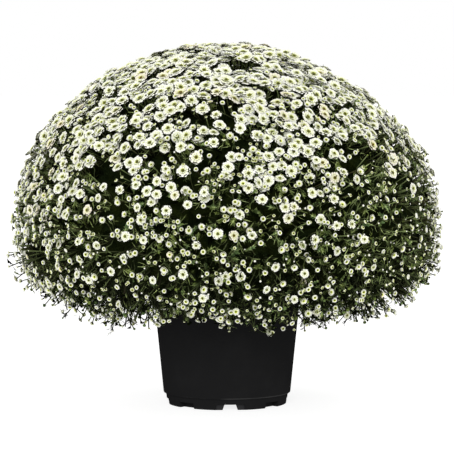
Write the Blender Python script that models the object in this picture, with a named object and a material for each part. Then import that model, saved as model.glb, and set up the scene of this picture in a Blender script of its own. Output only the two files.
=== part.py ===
"""A pot chrysanthemum: a dome of small white blooms on leafy sprays, standing in a black pot of soil.

Metres, +Z up. The origin is on the ground, under the middle of the pot.
"""

import math
import random

import bmesh
import bpy
from mathutils import Matrix, Vector

# Dome of blooms, measured to the faces of the outermost ones
DOME_RADIUS = 0.375
DOME_RISE = 0.330
DOME_CENTRE_Z = 0.313
SKIRT_DROP = 0.172
SKIRT_POWER = 3.0
SKIRT_INNER_RADIUS = 0.150
PROFILE_STEPS = 400

# Leafy bush under the blooms: one triangle of it, drawn up to a peak, carries each bloom, bud or leaf
BUSH_DEPTH = 0.052
PATCH_SIDE = 0.0725
PEAK_HEIGHT = 0.024
PATCH_ROUGHNESS = 0.0030
SPRAY_GAP = 0.0040
SPRAY_DEPTH = 0.070

# Sprays: how far down the dome each row is centred, how many stand in it, where their stems leave the soil
SPRAY_ROWS = (
    (0.00, 1, 0.000),
    (0.27, 6, 0.020),
    (0.51, 9, 0.037),
    (0.80, 9, 0.056),
)

# Stems
STEM_RADIUS = 0.0030
STEM_SIDES = 5
STEM_BENDS = 4
STEM_REACH = 0.36
HOLE_CLEARANCE = 0.0005
HOLE_DEPTH = 0.018

# Blooms, buds and leaves
PETALS = 5
BLOOM_RADIUS = 0.0270
BLOOM_NOTCH = 0.68
BLOOM_HEIGHT = 0.050
INNER_PETALS = 0.52
INNER_LIFT = 0.26
EYE_DEPTH = 0.10
CUP_RADIUS = 0.0180
CUP_SIDES = 6
CUP_HEIGHT = 0.050
CUP_DEPTH = 0.0050
BUD_RADIUS = 0.0055
BUD_HEIGHT = 0.070
LEAF_LENGTH = 0.041
LEAF_WIDTH = 0.034
LEAF_RIB = 0.0016
LEAF_REACH = 1.7
HEIGHT_SPREAD = 0.08
HEAD_TILT = 0.30
ROOT_SIZE = 0.0050
MOST_OF_ROOM = 0.93

# Pot
POT_HEIGHT = 0.220
POT_TOP_RADIUS = 0.1310
POT_LEDGE_RADIUS = 0.1110
POT_FOOT_RADIUS = 0.1045
POT_WALL = 0.0018
POT_FLOOR_Z = 0.0120
LEDGE_Z = 0.0190
RIM_RADIUS = 0.1365
RIM_DEPTH = 0.0120
FOOT_WIDTH = 0.0160
NOTCHES = 8
NOTCH_HEIGHT = 0.0095
NOTCH_MOUTH = 0.046
NOTCH_THROAT = 0.030
NOTCH_TAPER = 0.60
POT_SEGMENTS = 48

# Soil
SOIL_TOP = 0.198
SOIL_MOUND = 0.004
SOIL_GAP = 0.0004

FOLIAGE, PETAL, EYE = range(3)
SEED = 20


def clear_scene():
    """Removes whatever the scene holds."""
    for old in list(bpy.data.objects):
        bpy.data.objects.remove(old)


def material(name, colour, roughness):
    """A plain plastic, earth or plant surface."""
    made = bpy.data.materials.new(name)
    made.use_nodes = True
    surface = made.node_tree.nodes["Principled BSDF"]
    surface.inputs["Base Color"].default_value = (*colour, 1.0)
    surface.inputs["Roughness"].default_value = roughness
    surface.inputs["Metallic"].default_value = 0.0
    return made


def finished(name, bm, materials):
    """Turns a bmesh into an object with these materials."""
    mesh = bpy.data.meshes.new(name)
    bm.to_mesh(mesh)
    bm.free()
    for surface in materials:
        mesh.materials.append(surface)
    made = bpy.data.objects.new(name, mesh)
    bpy.context.scene.collection.objects.link(made)
    return made


def profile_of_dome():
    """Points down the dome in the plane y = 0, from its top to the skirt's inner edge."""
    points = []
    for step in range(PROFILE_STEPS + 1):
        turn = math.pi * step / PROFILE_STEPS
        upper = turn <= math.pi / 2
        rise, power = (DOME_RISE, 2.0) if upper else (SKIRT_DROP, SKIRT_POWER)
        radius = DOME_RADIUS * max(math.sin(turn), 0.0) ** (2 / power)
        lift = math.copysign(abs(math.cos(turn)) ** (2 / power), math.cos(turn))
        if not upper and radius < SKIRT_INNER_RADIUS:
            break
        points.append(Vector((radius, 0, DOME_CENTRE_Z + rise * lift)))
    return points


def profile_of_bush():
    """The dome's points moved inwards by the room that the blooms take, each with its outward normal."""
    dome = profile_of_dome()
    bush = []
    for i, point in enumerate(dome):
        along = dome[min(i + 1, len(dome) - 1)] - dome[max(i - 1, 0)]
        normal = Vector((-along.z, 0, along.x)).normalized()
        if i == 0:
            normal = Vector((0, 0, 1))
        bush.append((point - BUSH_DEPTH * normal, normal))
    return bush


def length_of(bush):
    """How far it is down the bush's profile."""
    return sum((bush[i + 1][0] - bush[i][0]).length for i in range(len(bush) - 1))


def down_bush(bush, share):
    """(point, outward normal) at this share of the way down the bush's profile."""
    left = share * length_of(bush)
    for (start, normal), (end, _) in zip(bush, bush[1:]):
        step = (end - start).length
        if left <= step:
            return start + (end - start) * (left / step), normal
        left -= step
    return bush[-1]


def turned(vector, angle):
    """A vector turned about the pot's axis."""
    return Matrix.Rotation(angle, 3, "Z") @ vector


def fill_strip(bm, upper, lower):
    """Fills the strip between two rings of (angle, vertex) with triangles, nearer corner first."""
    i = j = 0
    while i < len(upper) or j < len(lower):
        next_upper = upper[(i + 1) % len(upper)]
        next_lower = lower[(j + 1) % len(lower)]
        upper_angle = next_upper[0] + math.tau * ((i + 1) // len(upper))
        lower_angle = next_lower[0] + math.tau * ((j + 1) // len(lower))
        here = (upper[i % len(upper)][1], lower[j % len(lower)][1])
        if j >= len(lower) or (i < len(upper) and upper_angle < lower_angle):
            bm.faces.new((*here, next_upper[1]))
            i += 1
        else:
            bm.faces.new((*here, next_lower[1]))
            j += 1


def bush_surface(bush, rng):
    """The whole bush as a dome of near-equal triangles, its corners a little uneven."""
    bm = bmesh.new()
    rows = round(length_of(bush) / (PATCH_SIDE * math.sqrt(3) / 2))
    top = bm.verts.new(bush[0][0])
    above = None
    for row in range(1, rows + 1):
        point, normal = down_bush(bush, row / rows)
        count = max(5, round(math.tau * point.x / PATCH_SIDE))
        phase = (row % 2) * math.pi / count
        ring = []
        for k in range(count):
            angle = phase + math.tau * k / count
            uneven = rng.uniform(-1, 1) * PATCH_ROUGHNESS
            ring.append((angle, bm.verts.new(turned(point + uneven * normal, angle))))
        if above is None:
            for (_, a), (_, b) in zip(ring, ring[1:] + ring[:1]):
                bm.faces.new((top, a, b))
        else:
            fill_strip(bm, above, ring)
        above = ring
    bmesh.ops.recalc_face_normals(bm, faces=bm.faces)
    bm.faces.ensure_lookup_table()
    if bm.faces[0].normal.z < 0:
        bmesh.ops.reverse_faces(bm, faces=bm.faces)
    return bm


def spray_places(bush):
    """Each spray's middle on the bush, outward normal, angle and stem's distance from the axis."""
    places = []
    for row, (share, count, foot) in enumerate(SPRAY_ROWS):
        point, normal = down_bush(bush, share)
        for k in range(count):
            angle = math.tau * (k + 0.5 * (row % 2)) / count
            places.append((turned(point, angle), turned(normal, angle), angle, foot))
    return places


def faces_by_spray(surface, places):
    """For each spray, the indices of the triangles nearest to its middle, with none sticking out."""
    owner = {}
    for face in surface.faces:
        middle = face.calc_center_median()
        owner[face] = min(range(len(places)), key=lambda k: (places[k][0] - middle).length)
    for face in surface.faces:
        beside = [owner[other] for edge in face.edges for other in edge.link_faces if other is not face]
        common = max(beside, key=beside.count)
        if beside.count(common) > 1:
            owner[face] = common
    return [{face.index for face in surface.faces if owner[face] == k} for k in range(len(places))]


def ring_of(bm, centre, axis, radii, twist=0.0):
    """Draws a closed ring round an axis, with a corner at each of these radii, and returns its edges."""
    frame = axis.to_track_quat("Z", "Y").to_matrix()
    count = len(radii)
    corners = []
    for k in range(count):
        angle = twist + math.tau * k / count
        flat = Vector((radii[k] * math.cos(angle), radii[k] * math.sin(angle), 0))
        corners.append(bm.verts.new(centre + frame @ flat))
    return edges_round(bm, corners)


def edges_round(bm, corners):
    """The edges that close a ring through these vertices."""
    return [bm.edges.new((a, b)) for a, b in zip(corners, corners[1:] + corners[:1])]


def corners_of(edges):
    """The vertices of a closed ring of edges, in order round it."""
    edge = edges[0]
    corners = [edge.verts[0]]
    while len(corners) < len(edges):
        corner = edge.other_vert(corners[-1])
        corners.append(corner)
        edge = next(other for other in edges if other is not edge and corner in other.verts)
    return corners


def bridge(bm, lower, upper, surface):
    """Joins two rings with faces of one surface and returns the upper ring."""
    made = bmesh.ops.bridge_loops(bm, edges=lower + upper)["faces"]
    for face in made:
        face.material_index = surface
    return upper


def close(bm, edges, tip, surface):
    """Closes a ring with a fan of triangles that meet at a tip."""
    middle = bm.verts.new(tip)
    for edge in edges:
        bm.faces.new((*edge.verts, middle)).material_index = surface


class Patch:
    """Where something grows: a triangle's middle, its outward axis and the room over it."""

    def __init__(self, face):
        sides = [loop.link_loop_next.edge.calc_length() for loop in face.loops]
        corners = [loop.vert.co for loop in face.loops]
        spread = min(math.tan(edge.calc_face_angle_signed(0) / 2) for edge in face.edges)
        self.middle = sum((corner * side for corner, side in zip(corners, sides)), Vector()) / sum(sides)
        self.axis = face.normal.copy()
        self.corners = [corner.copy() for corner in corners]
        self.room = MOST_OF_ROOM * (2 * face.calc_area() / sum(sides) + spread * BLOOM_HEIGHT)

    def above(self, height):
        """The point at this height over the middle."""
        return self.middle + self.axis * height

    def sideways(self, most, rng):
        """A random vector across the axis, no longer than this."""
        angle = rng.uniform(0, math.tau)
        flat = Vector((math.cos(angle), math.sin(angle), 0)) * most * rng.uniform(0, 1)
        return self.axis.to_track_quat("Z", "Y") @ flat

    def head(self, radius, height, rng):
        """(centre, axis) of a head of this radius, to one side if there is room, and tipped a little."""
        centre = self.above(height * rng.uniform(1 - HEIGHT_SPREAD, 1))
        centre += self.sideways(self.room - radius, rng)
        return centre, (self.axis + self.sideways(HEAD_TILT, rng)).normalized()


def root_on(bm, face, patch, size):
    """Draws a triangle up to a peak, cut off to a small open root, and returns the root's edges."""
    made = bmesh.ops.extrude_discrete_faces(bm, faces=[face])
    root = made["faces"][0]
    for corner in root.verts:
        corner.co = patch.above(PEAK_HEIGHT) + (corner.co - patch.middle).normalized() * size
    edges = list(root.edges)
    bmesh.ops.delete(bm, geom=[root], context="FACES_ONLY")
    return edges


def grow_bloom(bm, face, patch, rng):
    """An open bloom: a star of outer petals, a raised row of inner ones and a sunken eye."""
    radius = min(BLOOM_RADIUS * rng.uniform(0.88, 1.0), patch.room)
    centre, axis = patch.head(radius, BLOOM_HEIGHT, rng)
    twist = rng.uniform(0, math.tau)
    star = [radius if k % 2 == 0 else radius * BLOOM_NOTCH for k in range(2 * PETALS)]
    outer = ring_of(bm, centre, axis, star, twist)
    bridge(bm, root_on(bm, face, patch, ROOT_SIZE), outer, PETAL)
    row = [radius * INNER_PETALS] * PETALS
    inner = ring_of(bm, centre + axis * radius * INNER_LIFT, axis, row, twist + math.pi / PETALS)
    bridge(bm, outer, inner, PETAL)
    close(bm, inner, centre + axis * radius * EYE_DEPTH, EYE)


def grow_cup(bm, face, patch, rng):
    """A half-open bloom: a small cup of upright petals round a sunken eye."""
    radius = min(CUP_RADIUS * rng.uniform(0.75, 1.0), patch.room)
    centre, axis = patch.head(radius, CUP_HEIGHT, rng)
    rim = ring_of(bm, centre, axis, [radius] * CUP_SIDES, rng.uniform(0, math.tau))
    bridge(bm, root_on(bm, face, patch, ROOT_SIZE), rim, PETAL)
    close(bm, rim, centre - axis * CUP_DEPTH, EYE)


def grow_bud(bm, face, patch, rng):
    """A closed bud on a thin stalk."""
    centre, axis = patch.head(BUD_RADIUS, BUD_HEIGHT, rng)
    neck = ring_of(bm, centre - axis * 1.5 * BUD_RADIUS, axis, [STEM_RADIUS * 0.5] * 3)
    bridge(bm, root_on(bm, face, patch, ROOT_SIZE * 0.5), neck, FOLIAGE)
    bulge = ring_of(bm, centre, axis, [BUD_RADIUS] * 5)
    bridge(bm, neck, bulge, FOLIAGE)
    close(bm, bulge, centre + axis * BUD_RADIUS, PETAL)


def grow_leaf(bm, face, patch, rng):
    """A lobed leaf that arches from its patch's peak towards one of the patch's corners."""
    along = (rng.choice(patch.corners) - patch.middle).normalized()
    across = patch.axis.cross(along)
    size = min(rng.uniform(0.85, 1.0), LEAF_REACH * patch.room / LEAF_LENGTH)
    start = patch.above(PEAK_HEIGHT)
    edges = root_on(bm, face, patch, ROOT_SIZE * 0.6)
    # How far along the leaf, its height and its half width as shares, at each lobe and sinus
    for reach, lift, half in ((0.28, 0.26, 0.46), (0.50, 0.34, 0.20), (0.66, 0.36, 0.40)):
        middle = start + size * LEAF_LENGTH * (reach * along + lift * patch.axis)
        side = size * half * LEAF_WIDTH * across
        corners = [middle - side, middle + side, middle + LEAF_RIB * patch.axis]
        edges = bridge(bm, edges, edges_round(bm, [bm.verts.new(corner) for corner in corners]), FOLIAGE)
    close(bm, edges, start + size * LEAF_LENGTH * (along + 0.26 * patch.axis), FOLIAGE)


def what_grows(patch, rng):
    """Blooms crowd the top, leaves show more lower down, and buds on stalks hang under the skirt."""
    if patch.axis.z < -0.35:
        kinds, shares = (grow_bud, grow_leaf, grow_cup), (0.36, 0.44, 0.20)
    elif patch.middle.z > DOME_CENTRE_Z:
        kinds, shares = (grow_bloom, grow_cup, grow_leaf), (0.62, 0.30, 0.08)
    else:
        kinds, shares = (grow_bloom, grow_cup, grow_leaf), (0.42, 0.30, 0.28)
    return rng.choices(kinds, shares)[0]


def stem_line(place):
    """Points and directions from a spray's inner end down to the bottom of its hole in the soil."""
    middle, normal, angle, foot = place
    top = middle - SPRAY_DEPTH * normal
    ground = turned(Vector((foot, 0, SOIL_TOP + 0.006)), angle)
    reach = STEM_REACH * (top - ground).length
    pull = ground + Vector((0, 0, reach))
    push = top - reach * normal
    line = []
    for step in range(STEM_BENDS + 1):
        t = step / STEM_BENDS
        u = 1 - t
        point = u**3 * top + 3 * u * u * t * push + 3 * u * t * t * pull + t**3 * ground
        way = u * u * (push - top) + 2 * u * t * (pull - push) + t * t * (ground - pull)
        line.append((point, way.normalized()))
    bottom = turned(Vector((foot, 0, hole_bottom() + SOIL_GAP)), angle)
    line.append((bottom, Vector((0, 0, -1))))
    return line


def hole_bottom():
    """The height of the floor of the holes that the stems stand in."""
    return SOIL_TOP - HOLE_DEPTH


def by_angle(corners, centre, axis):
    """(angle, vertex) for each vertex of a ring, from the least angle round an axis, turning left."""
    frame = axis.to_track_quat("Z", "Y").to_matrix().transposed()
    pairs = []
    for corner in corners:
        flat = frame @ (corner.co - centre)
        pairs.append((math.atan2(flat.y, flat.x) % math.tau, corner))
    first = min(range(len(pairs)), key=lambda k: pairs[k][0])
    pairs = pairs[first:] + pairs[:first]
    if pairs[1][0] > pairs[-1][0]:
        pairs[1:] = reversed(pairs[1:])
    return pairs


def draw_stem(bm, rim, place):
    """Draws a spray's open edge together into its stem and runs the stem down to its foot."""
    line = stem_line(place)
    edges = ring_of(bm, *line[0], [STEM_RADIUS] * STEM_SIDES)
    outer = by_angle(corners_of(rim), place[0], place[1])
    inner = by_angle(corners_of(edges), line[0][0], place[1])
    fill_strip(bm, outer, inner)
    for point, way in line[1:]:
        ring = ring_of(bm, point, way, [STEM_RADIUS] * STEM_SIDES)
        edges = bridge(bm, edges, ring, FOLIAGE)
    bm.faces.new(corners_of(edges)).material_index = FOLIAGE


def spray(name, surface, members, patches, place, materials, rng):
    """One leafy spray: its share of the bush, what grows on it, and the stem that it stands on."""
    bm = surface.copy()
    bm.faces.ensure_lookup_table()
    own = [(face, patches[face.index]) for face in bm.faces if face.index in members]
    others = [face for face in bm.faces if face.index not in members]
    bmesh.ops.delete(bm, geom=others, context="FACES")
    rim = [edge for edge in bm.edges if edge.is_boundary]
    inner = place[0] - SPRAY_DEPTH * place[1]
    for corner in {v for edge in rim for v in edge.verts}:
        corner.co += (inner - corner.co).normalized() * SPRAY_GAP / 2
    for face, patch in own:
        what_grows(patch, rng)(bm, face, patch, rng)
    draw_stem(bm, rim, place)
    bmesh.ops.recalc_face_normals(bm, faces=bm.faces)
    bmesh.ops.triangulate(bm, faces=bm.faces)
    return finished(name, bm, materials)


def pot_section():
    """The pot's wall and floor in section, from the floor's top round the rim to the floor's underside."""
    lean = (POT_TOP_RADIUS - POT_LEDGE_RADIUS) / (POT_HEIGHT - LEDGE_Z)
    below_rim = POT_TOP_RADIUS - lean * RIM_DEPTH
    inner_floor = POT_FOOT_RADIUS - POT_WALL
    return [
        (0.0, POT_FLOOR_Z),
        (inner_floor - 0.003, POT_FLOOR_Z),
        (inner_floor, POT_FLOOR_Z + 0.003),
        (inner_floor + 0.001, LEDGE_Z + 0.001),
        (POT_LEDGE_RADIUS - POT_WALL, LEDGE_Z + 0.003),
        (POT_TOP_RADIUS - POT_WALL, POT_HEIGHT - 0.001),
        (POT_TOP_RADIUS + 0.001, POT_HEIGHT),
        (RIM_RADIUS - 0.0015, POT_HEIGHT),
        (RIM_RADIUS, POT_HEIGHT - 0.002),
        (RIM_RADIUS - 0.0005, POT_HEIGHT - RIM_DEPTH),
        (below_rim, POT_HEIGHT - RIM_DEPTH),
        (POT_LEDGE_RADIUS, LEDGE_Z + 0.001),
        (POT_LEDGE_RADIUS - 0.001, LEDGE_Z),
        (POT_FOOT_RADIUS + 0.001, LEDGE_Z - 0.002),
        (POT_FOOT_RADIUS - 0.0015, 0.003),
        (POT_FOOT_RADIUS - 0.0045, 0.0),
        (POT_FOOT_RADIUS - FOOT_WIDTH, 0.0),
        (POT_FOOT_RADIUS - FOOT_WIDTH - 0.001, POT_FLOOR_Z - POT_WALL),
        (0.0, POT_FLOOR_Z - POT_WALL),
    ]


def notch_cutter():
    """Blocks that cut the drain notches through the foot ring, widest at the mouth and the ground."""
    bm = bmesh.new()
    for k in range(NOTCHES):
        block = bmesh.ops.create_cube(bm, size=2.0)["verts"]
        for corner in block:
            width = NOTCH_THROAT if corner.co.y > 0 else NOTCH_MOUTH
            taper = NOTCH_TAPER if corner.co.z > 0 else 1.0
            corner.co.x *= width * taper / 2
            corner.co.y = corner.co.y * FOOT_WIDTH - POT_FOOT_RADIUS + FOOT_WIDTH / 2
            corner.co.z = NOTCH_HEIGHT if corner.co.z > 0 else -NOTCH_HEIGHT
        turn = Matrix.Rotation(math.tau * k / NOTCHES, 3, "Z")
        bmesh.ops.rotate(bm, verts=block, cent=(0, 0, 0), matrix=turn)
    return helper("notch_cutter", bm)


def helper(name, bm):
    """An object that only shapes another."""
    made = finished(name, bm, [])
    made.hide_render = True
    made.display_type = "WIRE"
    return made


def cut(target, cutter):
    """Cuts one solid out of another and removes the cutter."""
    modifier = target.modifiers.new("cut", "BOOLEAN")
    modifier.operation = "DIFFERENCE"
    modifier.object = cutter
    bpy.context.view_layer.update()
    graph = bpy.context.evaluated_depsgraph_get()
    shaped = bpy.data.meshes.new_from_object(target.evaluated_get(graph))
    target.modifiers.clear()
    target.data = shaped
    bpy.data.objects.remove(cutter)


def spun(section, segments):
    """A closed solid turned from a section that starts and ends on the axis."""
    bm = bmesh.new()
    corners = [bm.verts.new((radius, 0, height)) for radius, height in section]
    line = [bm.edges.new(pair) for pair in zip(corners, corners[1:])]
    axis = {"cent": (0, 0, 0), "axis": (0, 0, 1)}
    bmesh.ops.spin(bm, geom=corners + line, steps=segments, angle=math.tau, use_merge=True, **axis)
    bmesh.ops.remove_doubles(bm, verts=bm.verts, dist=0.00001)
    bmesh.ops.recalc_face_normals(bm, faces=bm.faces)
    return bm


def pot(surface):
    """The nursery pot: a tapered wall with a rolled rim, a ledge near the ground and a notched foot ring."""
    made = finished("pot", spun(pot_section(), POT_SEGMENTS), [surface])
    cut(made, notch_cutter())
    made.data.shade_smooth()
    made.data.set_sharp_from_angle(angle=math.radians(35))
    return made


def soil(places, surface):
    """The root ball that fills the pot, with a plain hole for each stem."""
    lean = (POT_TOP_RADIUS - POT_LEDGE_RADIUS) / (POT_HEIGHT - LEDGE_Z)
    gap = POT_WALL + SOIL_GAP
    edge = POT_LEDGE_RADIUS + lean * (SOIL_TOP - SOIL_MOUND - LEDGE_Z) - gap
    inner_floor = POT_FOOT_RADIUS - gap
    section = [
        (0.0, SOIL_TOP),
        (places[-1][3] + 0.012, SOIL_TOP),
        (edge - 0.006, SOIL_TOP - SOIL_MOUND),
        (edge - 0.001, SOIL_TOP - 2 * SOIL_MOUND),
        (POT_LEDGE_RADIUS - gap - 0.001, LEDGE_Z + 0.006),
        (inner_floor - 0.004, POT_FLOOR_Z + 0.004),
        (inner_floor - 0.006, POT_FLOOR_Z + SOIL_GAP),
        (0.0, POT_FLOOR_Z + SOIL_GAP),
    ]
    made = finished("soil", spun(section, POT_SEGMENTS // 2), [surface])
    cut(made, hole_cutter(places))
    return made


def hole_cutter(places):
    """Rods that cut the holes in which the sprays' stems stand."""
    bm = bmesh.new()
    radii = [STEM_RADIUS + HOLE_CLEARANCE] * STEM_SIDES
    for _, _, angle, foot in places:
        ends = []
        for height in (SOIL_TOP + HOLE_DEPTH, hole_bottom()):
            centre = turned(Vector((foot, 0, height)), angle)
            ends.append(ring_of(bm, centre, Vector((0, 0, -1)), radii))
            bm.faces.new(corners_of(ends[-1]))
        bridge(bm, *ends, FOLIAGE)
    bmesh.ops.recalc_face_normals(bm, faces=bm.faces)
    return helper("hole_cutter", bm)


def main():
    """Builds the pot, the soil and the sprays."""
    clear_scene()
    foliage = material("foliage", (0.055, 0.105, 0.035), 0.60)
    petal = material("petal", (0.90, 0.92, 0.82), 0.55)
    eye = material("eye", (0.62, 0.66, 0.16), 0.65)
    plastic = material("black_plastic", (0.012, 0.012, 0.013), 0.42)
    earth = material("potting_soil", (0.045, 0.030, 0.020), 0.95)
    rng = random.Random(SEED)
    bush = profile_of_bush()
    surface = bush_surface(bush, rng)
    places = spray_places(bush)
    pot(plastic)
    soil(places, earth)
    groups = faces_by_spray(surface, places)
    patches = [Patch(face) for face in surface.faces]
    for number, (place, members) in enumerate(zip(places, groups), start=1):
        spray(f"spray_{number:02d}", surface, members, patches, place, [foliage, petal, eye], rng)
    surface.free()


main()
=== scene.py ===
import math
import random

import bmesh
import bpy
import numpy as np
from mathutils import Matrix, Quaternion, Vector


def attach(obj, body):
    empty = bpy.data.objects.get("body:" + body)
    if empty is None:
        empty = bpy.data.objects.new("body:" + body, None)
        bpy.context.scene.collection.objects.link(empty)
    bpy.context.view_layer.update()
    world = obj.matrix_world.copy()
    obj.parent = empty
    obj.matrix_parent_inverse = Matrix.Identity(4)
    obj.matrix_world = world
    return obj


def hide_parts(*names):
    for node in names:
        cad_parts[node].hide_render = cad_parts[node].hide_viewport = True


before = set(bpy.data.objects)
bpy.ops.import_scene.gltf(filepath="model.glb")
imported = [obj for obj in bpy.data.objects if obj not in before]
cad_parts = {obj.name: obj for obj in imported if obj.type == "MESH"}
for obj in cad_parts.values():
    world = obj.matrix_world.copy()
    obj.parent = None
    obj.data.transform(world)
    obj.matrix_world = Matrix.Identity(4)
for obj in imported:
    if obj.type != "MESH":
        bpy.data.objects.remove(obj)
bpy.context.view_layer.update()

bl_info = {
    "name": "Pot Chrysanthemum",
    "version": (1, 0, 0),
    "blender": (4, 5, 0),
    "location": "3D View > Sidebar > Chrysanthemum",
    "description": "Dresses a pot chrysanthemum's frame with blooms, leaves, soil and a nursery pot",
    "category": "Add Mesh",
}

# Dome of blooms: about as wide as the solids' own and a little lower
DOME_RADIUS = 0.375
DOME_RISE = 0.311
DOME_POWER = 1.9
DOME_CENTRE_Z = 0.313
SKIRT_DROP = 0.177
SKIRT_POWER = 2.78
SKIRT_INNER_RADIUS = 0.150
BUSH_DEPTH = 0.052
PROFILE_STEPS = 400

# The top leans a little to the left, and the skirt is a little shorter at the front left
LEAN = 0.009
LEAN_FROM_Z = 0.43
LEAN_HEIGHT = 0.12
SHORT_SIDE = -2.1
SHORT_SIDE_WIDTH = 0.55
SHORT_SIDE_LIFT = 0.016

# Sprays: share of the way down the bush, how many, and where their stems leave the soil
SPRAY_ROWS = (
    (0.00, 1, 0.000),
    (0.27, 6, 0.020),
    (0.51, 9, 0.037),
    (0.80, 9, 0.056),
)

# Stems, twigs and stalks: radii at the foot and the tip, depths, and painted shade on twigs and low stalks
STEM_RADII = (0.0030, 0.0019)
STEM_ROOT_DEPTH = 0.012
FORK_DEPTH = 0.075
TWIG_RADII = (0.0017, 0.0012)
TWIG_SHADE = 0.5
ELBOW_SHARE = 0.55
ELBOW_RISE = 0.018
STALK_RADIUS = 0.0009
STALK_SHADE_RADIUS = 0.0004
STALK_SHADE_Z = 0.34
STALK_SHADE_HEIGHT = 0.12

# The skirt's underside: normals lower than this belong to it, its lift, and its leaves' painted shade
UNDERSIDE = -0.2
UNDERSIDE_LIFT = 0.012
UNDERSIDE_PAINTED_SHADE = 0.75

# Leaves, leafy shoots, and the tuft behind a cluster with enough leaves, coloured dark as painted shade
LEAVES_ON_TWIG = 0.24
STRAND_SCALE = 0.72
LEAVES_FOR_ALL_STRANDS = 20
LEAVES_FOR_TUFT = 5.0
TUFT_DEPTH = 0.040
TUFT_LEAST_Z = 0.195
TUFT_PAINTED_SHADE_LUCK = 0.45
SHOOT_SPREAD = 0.020
SHOOT_DEPTHS = (0.006, 0.022)

# Clusters and heads: tries for a free place, how far they stray, how deep heads sit and where they look
PLACE_TRIES = 20
MOST_STRAY = 1.7
HEAD_TRIES = 7
BUD_DEPTH = 0.030
LOWER_HEAD_DEPTH = 0.020
UPPER_HEAD_DEPTH = 0.012
HEAD_SPREAD = 0.20
TOWARDS_VIEWER = 0.12
LOWEST_LOOK = -0.25
UPWARD_LOOK = 0.05

# Larger buds along the skirt's lower edge, mostly all green: green buds, and painted shade on that edge
FRINGE_Z = 0.235
FRINGE_SIZE = 1.35
FRINGE_GREEN_SHARE = 0.7

# Eyes of the blooms, and the share of its own luck that a copied part keeps
EYE_SIDES = 6
EYE_SEAT = 0.06
OWN_LUCK = 0.35

# Pot and soil, as the solids have them
POT_HEIGHT = 0.220
POT_TOP_RADIUS = 0.1310
POT_LEDGE_RADIUS = 0.1110
POT_FOOT_RADIUS = 0.1045
POT_FLOOR_Z = 0.0120
LEDGE_Z = 0.0190
RIM_RADIUS = 0.1365
RIM_DEPTH = 0.0120
FOOT_WIDTH = 0.0160
NOTCHES = 8
NOTCH_HEIGHT = 0.0098
NOTCH_MOUTH = 0.049
NOTCH_MOUTH_DEPTH = 0.0050
NOTCH_THROAT = 0.033
NOTCH_TAPER = 0.58
NOTCH_TURN = 0.055
SOIL_TOP = 0.198
SOIL_MOUND = 0.004
POT_LEAN = (POT_TOP_RADIUS - POT_LEDGE_RADIUS) / (POT_HEIGHT - LEDGE_Z)

# The pot's wall, the soil's gap and surface, and the point that the suns shine on
WALL = 0.0018
SOIL_GAP = 0.0022
SOIL_RINGS = 26
SOIL_SIDES = 96
SOIL_SEED = 3
LIGHT_TARGET = (0, 0, 0.35)

# Materials of a spray, in the order of their slots
PETAL, EYE, LEAF, STEM = range(4)

# What each height of the dome carries for one cluster:
# (height, open, half-open, ring, young ring, bud, leaves, size of the open blooms)
CLUSTER_MIX = (
    (0.14, 0.03, 0.06, 0.45, 0.50, 3.00, 22, 0.80),
    (0.20, 0.40, 0.70, 2.40, 2.00, 3.60, 23, 0.82),
    (0.30, 1.45, 1.50, 3.30, 3.40, 3.20, 22, 0.85),
    (0.37, 2.35, 1.80, 3.40, 3.90, 2.50, 19, 0.93),
    (0.44, 3.40, 1.60, 2.80, 3.80, 1.70, 17, 1.06),
    (0.50, 4.30, 1.20, 2.30, 3.40, 1.00, 14, 1.24),
    (0.60, 6.30, 0.90, 1.80, 2.60, 0.60, 11, 1.36),
)

# A barer side, where the leaves show, a fuller one, and a thin place under the front left:
# the middle, the reach, and what is added of each kind
SIDES = (
    ((0.31, -0.19, 0.28), 0.20,
     {"open": -0.92, "half": -0.72, "ring": -0.55, "young": -0.30, "bud": 0.60}),
    ((-0.31, -0.18, 0.38), 0.14, {"open": 0.50, "half": 0.20}),
    ((-0.19, -0.27, 0.205), 0.110,
     {"open": -0.60, "half": -0.60, "ring": -0.50, "bud": -0.30, "leaves": -0.80}),
)

# How the open blooms are shared among clusters: some are full, and others thinner
FLUSHES = (0.55, 0.80, 1.00, 1.20, 1.45)

# How far heads stray from the middle of their cluster
STRAY = {"open": 0.0165, "half": 0.0180, "ring": 0.0205, "young": 0.0215, "bud": 0.0230}


class Socket:
    """A shader value that can be written in sums: each operator adds its Math node."""

    def __init__(self, finish, link):
        self.finish = finish
        self.link = link

    def math(self, operation, *values):
        """Adds one Math node for these values."""
        return self.finish.node("ShaderNodeMath", {"operation": operation}, dict(enumerate(values)))

    def __add__(self, other):
        return self.math("ADD", self, other)

    def __radd__(self, other):
        return self.math("ADD", other, self)

    def __sub__(self, other):
        return self.math("SUBTRACT", self, other)

    def __rsub__(self, other):
        return self.math("SUBTRACT", other, self)

    def __mul__(self, other):
        return self.math("MULTIPLY", self, other)

    def __rmul__(self, other):
        return self.math("MULTIPLY", other, self)

    def ramp(self, start, end):
        """0 at start, 1 at end, smooth between."""
        settings = {"interpolation_type": "SMOOTHSTEP"}
        inputs = {0: self, 1: start, 2: end, 3: 0.0, 4: 1.0}
        return self.finish.node("ShaderNodeMapRange", settings, inputs)


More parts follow.
